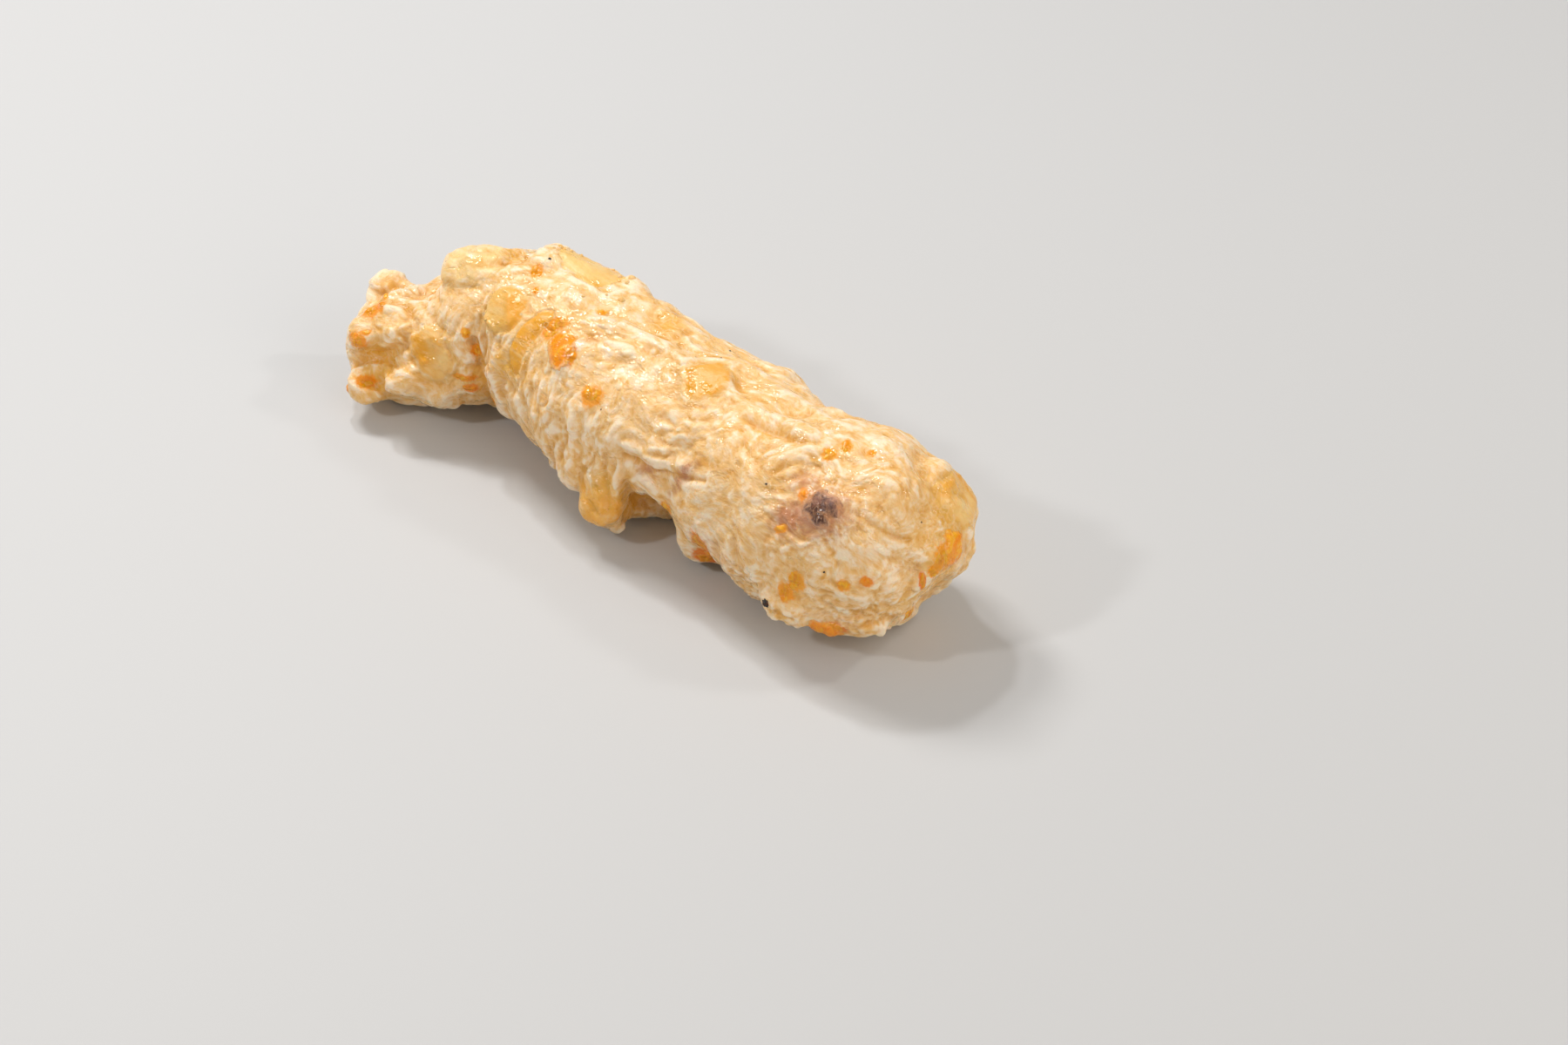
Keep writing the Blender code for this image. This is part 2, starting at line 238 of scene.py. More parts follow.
def averaged(values, edges, rounds):
    """Values at each point, each round averaged with those of the points beside it."""
    counts = np.bincount(edges.ravel(), minlength=len(values)).astype(float)
    for _ in range(rounds):
        total = np.bincount(edges[:, 0], values[edges[:, 1]], len(values))
        total += np.bincount(edges[:, 1], values[edges[:, 0]], len(values))
        values = 0.5 * values + 0.5 * total / counts
    return values


cake_skin = swollen_copy("fish_cake", "cake_skin", 0.0)
fuse(cake_skin, [swollen_copy(node, node + " to join", PIECE_SWELLING) for node in PIECE_NODES])
skin_mesh = reskinned(cake_skin, SKIN_VOXEL, SKIN_SMOOTHINGS)
points, normals = mesh_points(skin_mesh)
bare_skin = BVHTree.FromObject(cake_skin, bpy.context.evaluated_depsgraph_get())


def spot(pixel, tree=bare_skin):
    """The point of the cake that the photograph shows at a pixel, and the skin's normal there.

    Past the cake's outline, it is the point nearest to where the line of sight passes the cake."""
    hit, normal, _, _ = tree.ray_cast(eye * MM, sight(pixel).normalized())
    if hit is None:
        hit, normal, _, _ = tree.find_nearest((eye + sight(pixel) * CAMERA_DISTANCE) * MM)
    return hit / MM, normal


# Where the folds run: down the near side by the tail, along the back, and anyhow on the head.
# Each stretch of the cake fades in and out between two places along it.
TAIL_SIDE_IN, TAIL_SIDE_OUT = (-48, -40), (2, 14)
BACK_IN, HEAD_IN = (-16, -6), (16, 34)
NEAR_SIDE, BACK_SIDE = (0.35, 0.8), (0.1, 0.55)
LEAN_TO_BACK = (0.0, 0.8, 0.35)
FOLDS_ANYHOW = 0.75
along_cake = points[:, 0]
near = np.clip(-normals[:, 1], 0, 1)
head = smooth_step(*HEAD_IN, along_cake)
tail_side = smooth_step(*TAIL_SIDE_IN, along_cake) * (1 - smooth_step(*TAIL_SIDE_OUT, along_cake))
down = smooth_step(*NEAR_SIDE, near) * tail_side
back_side = smooth_step(*BACK_SIDE, normals @ LEAN_TO_BACK)
back = smooth_step(*BACK_IN, along_cake) * (1 - head) * back_side

noise.seed_set(3)
stir = stirred(points, FOLD_WARP_WAVE, FOLD_WARP, 5.0)
stir = stirred(stir, CURL_WARP_WAVE, CURL_WARP, 11.0)


def folds(at, long, wide, seed):
    """Folds of a length and width at each point, turned the way that they run there."""
    along = waves(at / (long, wide, wide) + seed)
    downward = waves(at / (wide, long, long) + seed + 9.1)
    anyhow = waves(at / (0.62 * (long + wide) / 2) + seed + 17.9)
    mix = along * (1 - down) + downward * down
    return mix * (1 - FOLDS_ANYHOW * head) + anyhow * FOLDS_ANYHOW * head


puffed = np.zeros(len(points))
puffy = 0.55 + 0.9 * smooth_step(-0.35, 0.35, waves(points / PUFFY_PLACE_WAVE + 71.0))
for k, (long, wide, rise) in enumerate(PUFFS):
    rounded = np.abs(folds(stir, long, wide, 23.0 * k)) * PUFF_STEEPNESS - PUFF_LEVEL
    puffed += rise * puffy * rounded * (1 - 0.5 * back)
rippled = RIPPLE_LEVEL - RIPPLE_STEEPNESS * np.abs(folds(stir, RIPPLE_LONG, RIPPLE_WIDE, 41.0))
puffed += RIPPLE_HEIGHT * back * rippled

# The creases and ridges that stand out, by the photograph's pixels: the line, half its width and
# its height over the skin.
LINES = {
    "shoulder over the neck": (((552, 384), (558, 408), (566, 436), (577, 462)), 0.9, 0.7),
    "neck under the shoulder": (((545, 392), (552, 420), (560, 446), (568, 464)), 0.9, -0.8),
    "red crease": (((716, 524), (735, 531), (757, 541), (782, 548), (809, 552)), 0.5, -0.75),
    "ridge over the red crease": (((712, 508), (735, 518), (760, 530), (790, 538)), 0.9, 0.5),
    "fold on the back": (((856, 482), (880, 493), (914, 506), (940, 509)), 0.8, -0.7),
    "roll over that fold": (((838, 455), (866, 470), (900, 486), (934, 496)), 1.4, 0.5),
    "fold under the amber bulge": (((700, 358), (735, 372), (770, 387), (796, 380)), 0.9, -0.5),
    "lip over the slab": (((640, 315), (668, 327), (694, 340), (716, 336)), 0.7, 0.4),
    "left of the patch": (((785, 417), (782, 434), (784, 452), (790, 466)), 0.7, 0.35),
    "above the patch": (((784, 414), (806, 412), (832, 414)), 0.7, 0.3),
    "right of the patch": (((842, 420), (836, 438), (840, 458)), 1.2, 0.5),
    "hood's lower edge": (((440, 336), (458, 328), (474, 330)), 0.6, -0.5),
    "valley's roof": (((404, 396), (425, 386), (447, 380), (466, 374)), 0.9, 0.5),
    "valley in the tail": (((408, 418), (428, 411), (448, 404), (466, 398)), 1.2, -0.8),
    "pocket's rim": (((402, 436), (412, 448), (432, 452), (446, 446)), 0.7, 0.5),
    "pocket's top": (((406, 424), (424, 418), (444, 420), (460, 428)), 0.6, 0.45),
    "wedge's left edge": (((474, 372), (474, 388), (481, 404), (489, 418)), 0.6, 0.4),
    "wedge's crease": (((476, 394), (482, 404), (487, 413)), 0.45, -0.35),
    "wedge's ridge": (((500, 388), (506, 406), (512, 428)), 0.6, 0.3),
    "chunk's left edge": (((560, 342), (556, 358), (564, 374), (574, 388)), 0.6, 0.35),
    "chunk's ridge": (((584, 340), (583, 356), (582, 374)), 0.6, 0.3),
    "flap of the loop": (((711, 530), (706, 548), (709, 570)), 0.6, 0.6),
    "hollow of the loop": (((716, 548), (722, 566), (736, 580)), 1.2, -1.0),
    "loop's first fold": (((668, 550), (674, 572), (686, 592)), 0.55, -0.5),
    "loop's roll": (((678, 540), (684, 562), (692, 586)), 0.7, 0.45),
    "loop's second fold": (((693, 536), (696, 560), (700, 588)), 0.5, -0.5),
    "head's hem": (((996, 716), (1020, 712), (1046, 700), (1070, 684), (1090, 662)), 0.8, -0.5),
    "crease by the octopus": (((946, 620), (956, 636), (962, 652)), 0.5, -0.4),
    "head crease": (((985, 590), (1006, 606), (1024, 616), (1046, 622)), 0.6, -0.45),
    "corner's edge": (((878, 700), (892, 705), (912, 714)), 0.5, -0.5),
    "second lip": (((900, 452), (928, 466), (952, 484), (976, 492)), 1.0, 0.35),
}


def along_line(pixels, step=0.4):
    """Points on the bare skin under a line through the pixels, a step apart."""
    ends = [spot(pixel)[0] for pixel in pixels]
    line = []
    for a, b in zip(ends, ends[1:]):
        count = max(2, int((b - a).length / step))
        line += [bare_skin.find_nearest(a.lerp(b, k / count) * MM)[0] / MM for k in range(count)]
    return line


def tree_of(places):
    tree = KDTree(len(places))
    for k, p in enumerate(places):
        tree.insert(p, k)
    tree.balance()
    return tree


def distance_to(at, line, reach):
    """How far each point is from the nearest of the line's points, up to reach."""
    tree = tree_of(line)
    line = np.array(line)
    low, high = line.min(axis=0) - reach, line.max(axis=0) + reach
    far = np.full(len(at), reach)
    for k in np.nonzero(((at > low) & (at < high)).all(axis=1))[0]:
        far[k] = min(reach, tree.find(at[k])[2])
    return far


def line_on_skin(pixels, half_width):
    """How much a soft line through the pixels marks each point: 1 on it, 0 at 3 half widths."""
    away = distance_to(points, along_line(pixels), half_width * 3)
    return np.exp(-((away / half_width) ** 2)) - np.exp(-9)


lined = np.zeros(len(points))
for pixels, half_width, rise in LINES.values():
    lined += rise * line_on_skin(pixels, half_width)

# Each separate piece lies level with the skin round it. A cut face has a straight rim, and the
# others a ragged one, by this many millimetres. Puffs and folds die down on a piece by its share
# of calm. The paste stands up in a lip round the pieces that are sunk in.
RAGGED = {
    "onion_slab": 0.15, "onion_chunk": 0.5, "onion_bulge": 1.2, "onion_strip": 0.15, "onion_patch": 0.4,
    "octopus_piece": 0.9, "carrot_block": 0.25, "carrot_end": 0.5, "carrot_low": 0.5,
}
OTHERS_RAGGED = 0.7
CALM = {
    "onion_slab": 0.85, "onion_patch": 0.85, "onion_bulge": 0.5, "onion_end": 0.5, "octopus_piece": 0.4,
    "onion_loop": 0.3, "onion_wedge": 0.55,
}
OTHERS_CALM = 0.75
SUNK_IN = ("onion_slab", "onion_chunk", "onion_strip", "carrot_block")
LIP_HEIGHT, LIP_PLACE, LIP_WIDTH = 0.16, 0.45, 0.5
# The rim is where the skin lies farther from the piece than its swelling, by these amounts.
RIM_FROM, RIM_MIDDLE, RIM_TO = 0.05, 0.2, 0.4
RIM_SEARCH, FAR_FROM_RIM = 4, 9.0
# How far the skin dips under a piece, and how much of the free room in the box the relief takes.
PIECE_DIP = 0.9
ROOM_TAKEN = 0.9
# How far under the skin round it, close by and farther out, a point counts as deep in a crease.
FINE_ROUNDS, FINE_SUNK = 7, 0.09
BROAD_ROUNDS, BROAD_SUNK = 45, 0.40

# How far every point of the skin is from each piece's rim, negative on the piece.
ripples = waves(points / 2.4 + 3.3) * 1.1 + waves(points / 1.1 + 8.1) * 0.4
rim_distance = {}
for node in PIECE_NODES:
    tree = BVHTree.FromObject(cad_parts[node], bpy.context.evaluated_depsgraph_get())
    low, high = (np.array(corner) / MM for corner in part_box(node))
    close = np.nonzero(((points > low - RIM_SEARCH) & (points < high + RIM_SEARCH)).all(axis=1))[0]
    gaps = np.array([tree.find_nearest(Vector(points[k]) * MM)[3] for k in close]) / MM
    gaps = gaps - PIECE_SWELLING
    at_rim = (gaps > RIM_FROM) & (gaps < RIM_TO)
    rim = tree_of(points[close[at_rim]])
    side_of_rim = np.where(gaps < RIM_MIDDLE, -1, 1)
    outside = np.array([rim.find(points[k])[2] for k in close]) * side_of_rim
    rim_distance[node] = np.full(len(points), FAR_FROM_RIM)
    rim_distance[node][close] = outside + RAGGED.get(node, OTHERS_RAGGED) * ripples[close]

calm = np.zeros(len(points))
lip = np.zeros(len(points))
dip = np.zeros(len(points))
for node, far in rim_distance.items():
    calm = np.maximum(calm, CALM.get(node, OTHERS_CALM) * (1 - smooth_step(-0.6, 0.5, far)))
    if node in SUNK_IN:
        lip = np.maximum(lip, np.exp(-(((far - LIP_PLACE) / LIP_WIDTH) ** 2)))
        dip = np.maximum(dip, 1 - smooth_step(-0.35, 0.1, far))
    else:
        dip = np.maximum(dip, 1 - smooth_step(-1.0, -0.4, far))

# How far each point may rise before it leaves the box of the solids, with a little to spare.
box_low, box_high = np.array(cad_box) / MM
room = np.where(normals > 0, box_high - points, points - box_low) / np.maximum(np.abs(normals), 0.05)
room = ROOM_TAKEN * np.maximum(room.min(axis=1), 0)
edges = edges_of(skin_mesh)
height = averaged(puffed * (1 - calm) + lined + LIP_HEIGHT * lip, edges, 1)
height = np.minimum(height, room)
relieved = points + normals * height[:, None]
move_points(skin_mesh, relieved)
_, relieved_normals = mesh_points(skin_mesh)
fresh_skin = BVHTree.FromObject(cake_skin, bpy.context.evaluated_depsgraph_get())


def sunk_below(rounds):
    """How far each point lies under the average of the skin round it."""
    around = np.stack([averaged(relieved[:, i], edges, rounds) for i in range(3)], axis=1)
    return ((around - relieved) * relieved_normals).sum(axis=1)


# How deep each point lies in a crease: the paste is painted darker amber there, partly its own tone and
# partly painted shade.
fine_crease = np.clip(sunk_below(FINE_ROUNDS) / FINE_SUNK, -1.5, 1.5)
broad_crease = np.clip(sunk_below(BROAD_ROUNDS) / BROAD_SUNK, -1.5, 1.5)
crease_amber_and_shade = fine_crease * 0.5 + broad_crease * 0.5
move_points(skin_mesh, relieved - normals * (PIECE_DIP * dip)[:, None])
skin_mesh.shade_smooth()

# Stains in the skin round bits of carrot, by the photograph's pixels: where, half their width and
# height in pixels, and how red they are, from yellow at 0 to red at 1.
CARROTS = {
    "tail tip": (442, 339, 3, 3, 0.2),
    "tail top": (427, 358, 10, 7, 0.5),
    "tail top, faint": (438, 349, 4, 3, 0.4),
    "tail middle": (420, 382, 5, 3, 0.4),
    "tail left": (409, 391, 10, 8, 0.35),
    "pocket": (420, 438, 9, 6, 0.4),
    "neck": (534, 382, 5, 5, 0.1),
    "neck, low": (549, 401, 5, 6, 0.3),
    "neck hem": (531, 434, 10, 3, 0.4),
    "neck corner": (540, 446, 8, 4, 0.7),
    "summit": (616, 312, 6, 7, 0.3),
    "under the summit": (615, 333, 3, 4, 0.4),
    "top, yellow": (691, 359, 4, 3, 0.1),
    "beside the strip": (634, 378, 11, 10, 0.4),
    "beside the strip, high": (645, 370, 8, 6, 0.3),
    "orange block": (651, 404, 9, 12, 0.75),
    "under the block": (678, 454, 10, 10, 0.25),
    "waist": (765, 584, 5, 4, 0.3),
    "belly": (806, 624, 10, 8, 0.7),
    "belly edge": (814, 639, 14, 5, 0.9),
    "back, left": (952, 522, 7, 6, 0.2),
    "back, middle": (972, 513, 6, 6, 0.2),
    "back, right": (1000, 520, 5, 3, 0.2),
    "by the octopus": (922, 566, 4, 5, 0.5),
    "beside the octopus": (896, 607, 6, 4, 0.3),
    "head, middle": (968, 672, 6, 5, 0.3),
    "head, faint": (994, 668, 6, 4, 0.7),
    "head, red": (1059, 668, 3, 8, 0.95),
    "head end": (1085, 640, 10, 12, 0.25),
    "head end, low": (1072, 656, 5, 5, 0.3),
    "head hem": (1042, 706, 5, 4, 0.05),
    "bottom": (956, 722, 12, 6, 0.85),
    "corner": (903, 680, 6, 9, 0.3),
    "corner, high": (914, 668, 7, 8, 0.1),
}
# How far a mark is drawn out, at most, where the skin falls away from the eye, and how soft it is.
SLANT_ASIDE, SLANT_UP = 0.4, 0.35
MARK_THICKNESS, MARK_SOFTNESS = 1.5, 1.4


def frame_at(px, py, half_width, half_height):
    """Where a mark at a pixel lies: its middle, its sideways and upward steps, and its normal."""
    centre, normal = spot((px, py), fresh_skin)
    flat = across - normal * across.dot(normal)
    side = flat.normalized()
    up = normal.cross(side)
    wide = half_width * MM_PER_PIXEL / max(SLANT_ASIDE, flat.length)
    tall = half_height * MM_PER_PIXEL / max(SLANT_UP, abs(up.dot(upward)))
    return centre, side * wide, up * tall, normal


def blot(centre, side, up, normal):
    """A soft spot on the skin, 1 in its middle, that fades at the ends of its steps."""
    away = relieved - np.array(centre)
    wide, tall = side.length, up.length
    reach = (away @ np.array(side) / wide**2) ** 2 + (away @ np.array(up) / tall**2) ** 2
    reach += (away @ np.array(normal) / (MARK_THICKNESS * max(wide, tall))) ** 2
    return np.exp(-reach / MARK_SOFTNESS)


def marked_by(places):
    """How strongly the places of a list mark each point of the skin."""
    value = np.zeros(len(relieved))
    for *place, strength in places.values():
        value = np.maximum(value, strength * blot(*frame_at(*place)))
    return value


carrot = np.zeros(len(relieved))
redness = np.zeros(len(relieved))
for *place, red in CARROTS.values():
    mark = blot(*frame_at(*place))
    redness = np.where(mark > carrot, red, redness)
    carrot = np.maximum(carrot, mark)

# Amber places where onion lies under the skin, and painted shade in the hollows, on the neck and on
# the low sides; pink and purple ones, mostly by the octopus, and places where oil stands in the
# folds: where, their half sizes in pixels, and how strong they are.
AMBERS_AND_SHADE = {
    "shoulder": (540, 306, 44, 22, 0.45),
    "right of the summit": (590, 296, 14, 8, 0.6),
    "amber bulge": (768, 372, 15, 18, 0.8),
    # In the tail's valley, hood and pocket the amber is partly onion under the skin and partly painted shade
    # in the hollows; on the tail's low side it is painted shade.
    "valley in the tail": (444, 404, 24, 11, 1.1),
    "hood": (448, 326, 16, 8, 0.6),
    "pocket": (430, 436, 20, 12, 1.1),
    "tail, low": (470, 446, 40, 14, 0.6),
    "round the wedge": (500, 410, 24, 32, 0.6),
    # The neck: amber painted as the shade under the shoulder.
    "neck": (552, 440, 20, 26, 0.95),
    "round the chunk": (575, 356, 32, 26, 0.6),
    "left of the strip": (580, 418, 14, 20, 0.9),
    "round the strip": (596, 405, 20, 34, 0.6),
    "round the patch": (812, 440, 34, 32, 0.4),
    "right of the patch": (862, 448, 20, 34, 0.45),
    "loop": (692, 575, 32, 34, 0.8),
    # The loop's hollow: amber painted as shade in the hollow.
    "hollow of the loop": (722, 575, 12, 20, 1.0),
    "head onion": (1096, 575, 26, 38, 0.9),
    "head end": (1086, 650, 16, 34, 0.8),
    # Along the head's lower hem and bottom: amber painted as the shade of the low side.
    "head, lower right": (1040, 690, 40, 14, 0.5),
    "corner": (894, 708, 20, 9, 0.5),
    "lump by the corner": (910, 675, 14, 14, 0.6),
    "bottom": (1000, 724, 12, 8, 0.5),
    "long amber fold": (880, 500, 44, 9, 0.5),
    "left of the fold": (838, 486, 24, 12, 0.4),
    # The lower left side and the lower head: amber painted as the shade of the cake's lower sides.
    "lower left side": (640, 520, 40, 26, 0.4),
    "lower head": (930, 650, 40, 20, 0.35),
}
PINKS = {
    "octopus": (934, 590, 27, 27, 1.0),
    "left of the octopus": (908, 594, 24, 18, 0.95),
    "over the octopus": (926, 556, 20, 16, 0.6),
    "crease_amber_and_shade": (745, 538, 14, 7, 0.7),
    "crease, right": (785, 549, 26, 5, 0.75),
    "under the crease": (748, 550, 14, 8, 0.35),
    "smear": (686, 388, 24, 9, 0.4),
    "head, low": (1040, 650, 22, 12, 0.25),
    "bottom": (962, 712, 26, 8, 0.4),
    "belly": (820, 628, 24, 12, 0.35),
    "neck": (560, 436, 20, 14, 0.3),
}
WETS = {
    "neck": (505, 400, 34, 30, 1.0),
    "tail, low": (470, 445, 30, 14, 0.6),
    "under the chunk": (575, 385, 22, 16, 1.0),
    "left of the strip": (575, 415, 14, 20, 0.9),
    "beside the strip": (636, 374, 22, 16, 0.9),
    "over the chunk": (580, 325, 40, 14, 0.7),
    "top": (670, 375, 60, 30, 0.8),
    "back": (740, 430, 44, 24, 0.5),
    "by the octopus": (960, 570, 30, 24, 0.35),
    "patch's left edge": (792, 440, 5, 26, 0.9),
    "on the wedge": (507, 401, 10, 6, 1.0),
    "waist": (740, 590, 30, 40, 0.5),
    "loop": (690, 565, 24, 30, 1.0),
    "tail, top": (440, 345, 30, 12, 0.6),
    "shoulder": (545, 300, 40, 16, 0.5),
    "belly": (830, 640, 40, 20, 0.6),
    "head, low right": (1060, 650, 34, 34, 0.7),
    "head's end": (1098, 590, 20, 40, 0.8),
    "right of the octopus": (1010, 590, 40, 40, 0.35),
    "bottom": (950, 710, 60, 14, 0.7),
}
amber_and_shade = marked_by(AMBERS_AND_SHADE)
pink = marked_by(PINKS)
wet = marked_by(WETS)

# The sides that the photograph doesn't show have the same kinds of bits, as thickly spread.
HIDDEN_CARROTS, HIDDEN_AMBERS = 34, 18
HIDDEN_FACING, LOWEST_BIT = -0.15, 1.0
rng = np.random.default_rng(12)
facing = normals @ np.array(-forward)
hidden = np.nonzero((facing < HIDDEN_FACING) & (relieved[:, 2] > LOWEST_BIT))[0]


def hidden_frame(size, aspect):
    """Where a mark lies at a random place on the hidden sides."""
    k = rng.choice(hidden)
    normal = Vector(relieved_normals[k])
    side = normal.orthogonal().normalized()
    side.rotate(Matrix.Rotation(rng.uniform(0, math.tau), 3, normal))
    return Vector(relieved[k]), side * size, normal.cross(side) * size * aspect, normal


hidden_bits = []
for _ in range(HIDDEN_CARROTS):
    place = hidden_frame(rng.uniform(0.5, 1.6), rng.uniform(0.6, 1.4))
    red = rng.uniform(0.05, 0.85)
    hidden_bits.append((place, red))
    mark = blot(*place)
    redness = np.where(mark > carrot, red, redness)
    carrot = np.maximum(carrot, mark)
for _ in range(HIDDEN_AMBERS):
    place = hidden_frame(rng.uniform(2.0, 5.0), rng.uniform(0.5, 1.0))
    amber_and_shade = np.maximum(amber_and_shade, rng.uniform(0.4, 0.9) * blot(*place))
    wetness = rng.uniform(0.3, 0.9)
    place = hidden_frame(rng.uniform(3.0, 6.0), rng.uniform(0.5, 1.0))
    wet = np.maximum(wet, wetness * blot(*place))


def store(mesh, name, values):
    """Stores a value, or a place, at each of the mesh's points, for its material to read."""
    values = np.asarray(values, np.float32)
    if values.ndim == 2:
        mesh.attributes.new(name, "FLOAT_VECTOR", "POINT").data.foreach_set("vector", values.ravel())
    else:
        mesh.attributes.new(name, "FLOAT", "POINT").data.foreach_set("value", values)


SKIN_VALUES = {
    "crease_amber_and_shade": crease_amber_and_shade, "carrot": carrot, "redness": redness, "amber_and_shade": amber_and_shade, "pink": pink,
    "downward": down, "stir": stir, "wet": wet,
}
for name, values in SKIN_VALUES.items():
    store(skin_mesh, name, values)


class Recipe:
    """A material put together from shader nodes, each made in one call."""

    def __init__(self, name):
        self.material = bpy.data.materials.new(name)
        self.material.use_nodes = True
        self.tree = self.material.node_tree
        self.surface = self.tree.nodes["Principled BSDF"]

    def set(self, node, sockets):
        for key, value in sockets.items():
            if isinstance(value, bpy.types.NodeSocket):
                self.tree.links.new(value, node.inputs[key])
            else:
                node.inputs[key].default_value = value
        return node

    def node(self, kind, sockets, **settings):
        made = self.tree.nodes.new("ShaderNode" + kind)
        for key, value in settings.items():
            setattr(made, key, value)
        return self.set(made, sockets)

    def maths(self, operation, *values):
        return self.node("Math", dict(enumerate(values)), operation=operation).outputs[0]

    def about(self, value, middle, strength, base):
        """The base, raised by how far the value is over its middle."""
        return self.maths("MULTIPLY_ADD", self.maths("SUBTRACT", value, middle), strength, base)

    def mix(self, share, first, second):
        """The first colour with that share of the second, by the Mix node's sockets for colours."""
        return self.node("Mix", {0: share, 6: first, 7: second}, data_type="RGBA").outputs[2]

    def stored(self, name, output="Fac"):
        return self.node("Attribute", {}, attribute_name=name).outputs[output]

    def spread(self, value, low, high, top=1.0):
        """The value taken from low to high onto 0 to the top, smoothly."""
        sockets = {"Value": value, "From Min": low, "From Max": high, "To Max": top}
        return self.node("MapRange", sockets, interpolation_type="SMOOTHSTEP").outputs[0]

    def grain(self, wave, stretch=(1, 1, 1), detail=3.0, roughness=0.55, distortion=0.0, stir=False):
        """Noise with waves of that many millimetres, stretched along each axis."""
        if stir:
            place, unit = self.stored("stir", "Vector"), 1.0
        else:
            place, unit = self.node("TexCoord", {}).outputs["Object"], MM
        scale = tuple(1 / s for s in stretch)
        moved = self.node("Mapping", {"Vector": place, "Scale": scale}).outputs[0]
        sockets = {"Vector": moved, "Scale": 1 / (wave * unit), "Detail": detail}
        sockets |= {"Roughness": roughness, "Distortion": distortion}
        return self.node("TexNoise", sockets).outputs["Fac"]

    def turned(self, wave, length, **settings):
        """Noise in the stirred paste, drawn out along the cake or, where folds run down, down it."""
        along = self.grain(wave, (length, 1, 1), stir=True, **settings)
        downward = self.grain(wave, (1, 0.8 * length, 0.8 * length), stir=True, **settings)
        change = self.maths("SUBTRACT", downward, along)
        return self.maths("MULTIPLY_ADD", change, self.stored("downward"), along)


def colour(red, green, blue):
    return (red, green, blue, 1.0)


PASTE_WHITE = colour(0.95, 0.77, 0.555)
PASTE_CREAM = colour(0.87, 0.545, 0.215)
# The amber is the paste's own, and it also stands as painted shade in the creases.
PASTE_AMBER_AND_SHADE = colour(0.72, 0.36, 0.07)
UNDER_ONION_AND_SHADE = colour(0.84, 0.45, 0.06)
CARROT_YELLOW = colour(0.94, 0.39, 0.008)
CARROT_RED = colour(0.86, 0.20, 0.004)
PINK_STAIN = colour(0.50, 0.19, 0.09)
OILY, SMOOTHEST = 0.10, 0.08
WRINKLE_DEPTH = 0.19


def paste_colours(recipe):
    """The paste's colour, whitish on its puffs and amber in its creases, partly as painted shade, and its
    fine fibres.
    """
    fibres = recipe.turned(0.85, 1.8, detail=3.5, roughness=0.55, distortion=0.4)
    wads = recipe.turned(2.2, 1.5, detail=5.0, roughness=0.6, distortion=0.35)
    threads = recipe.turned(1.7, 1.8, detail=2.0, roughness=0.5, distortion=0.5)
    clouds = recipe.grain(8.0, (1.5, 1, 1), 3.0, 0.55, 0.6)
    # Darker amber in the creases, partly the paste's tone and partly painted shade.
    tone = recipe.maths("MULTIPLY_ADD", recipe.stored("crease_amber_and_shade"), 0.50, 0.57)
    tone = recipe.about(wads, 0.5, 2.3, tone)
    tone = recipe.about(fibres, 0.5, 0.9, tone)
    tone = recipe.about(clouds, 0.5, 1.0, tone)
    tone = recipe.maths("MULTIPLY_ADD", recipe.stored("amber_and_shade"), 0.45, tone)
    whites = recipe.mix(recipe.spread(tone, 0.02, 0.70), PASTE_WHITE, PASTE_CREAM)
    body = recipe.mix(recipe.spread(tone, 0.55, 1.3), whites, PASTE_AMBER_AND_SHADE)
    # Onion amber under the skin, and painted shade in the hollows and on the low sides.
    amber_and_shade_share = recipe.maths("MULTIPLY", recipe.spread(recipe.stored("amber_and_shade"), 0.15, 0.9), 0.7)
    amber_and_shade_share = recipe.maths("MULTIPLY", amber_and_shade_share, recipe.spread(tone, 0.1, 0.8))
    body = recipe.mix(amber_and_shade_share, body, UNDER_ONION_AND_SHADE)
    ridge = recipe.maths("ABSOLUTE", recipe.maths("SUBTRACT", threads, 0.5))
    body = recipe.mix(recipe.spread(ridge, 0.08, 0.0, 0.25), body, PASTE_WHITE)
    return body, fibres


def paste_gloss(recipe, body, fibres, dry=0.50, wetness=0.0, glow=0.25):
    """Gives the recipe the paste's crimped surface, with a film of oil that lies on it in patches."""
    pores = recipe.grain(0.6, (1, 1, 1), 3.0, 0.6)
    beads = recipe.grain(1.5, (1.4, 1, 1), 2.5, 0.5, 0.3)
    oil = recipe.grain(3.0, (1.3, 1, 1), 3.0, 0.6, 0.8)
    oil = recipe.maths("MULTIPLY_ADD", recipe.stored("wet"), 0.20, recipe.maths("ADD", oil, wetness))
    wet = recipe.spread(oil, 0.50, 0.66)
    rough = recipe.about(fibres, 0.5, 0.4, recipe.maths("MULTIPLY_ADD", wet, OILY - dry, dry))
    height = recipe.maths("MULTIPLY_ADD", pores, 0.6, recipe.maths("SUBTRACT", fibres, 0.8))
    height = recipe.maths("MULTIPLY", height, recipe.maths("MULTIPLY_ADD", wet, -0.8, 1.0))
    beads = recipe.maths("MULTIPLY", recipe.maths("SUBTRACT", beads, 0.5), wet)
    height = recipe.maths("MULTIPLY_ADD", beads, 3.6, height)
    wrinkles = recipe.node("Bump", {"Strength": 1.0, "Distance": WRINKLE_DEPTH * MM, "Height": height})
    recipe.set(recipe.surface, {
        "Base Color": body,
        "Roughness": recipe.maths("MAXIMUM", rough, SMOOTHEST),
        "Subsurface Weight": glow,
        "Subsurface Radius": (1.0, 0.5, 0.25),
        "Subsurface Scale": 1.0 * MM,
        "Normal": wrinkles.outputs[0],
    })


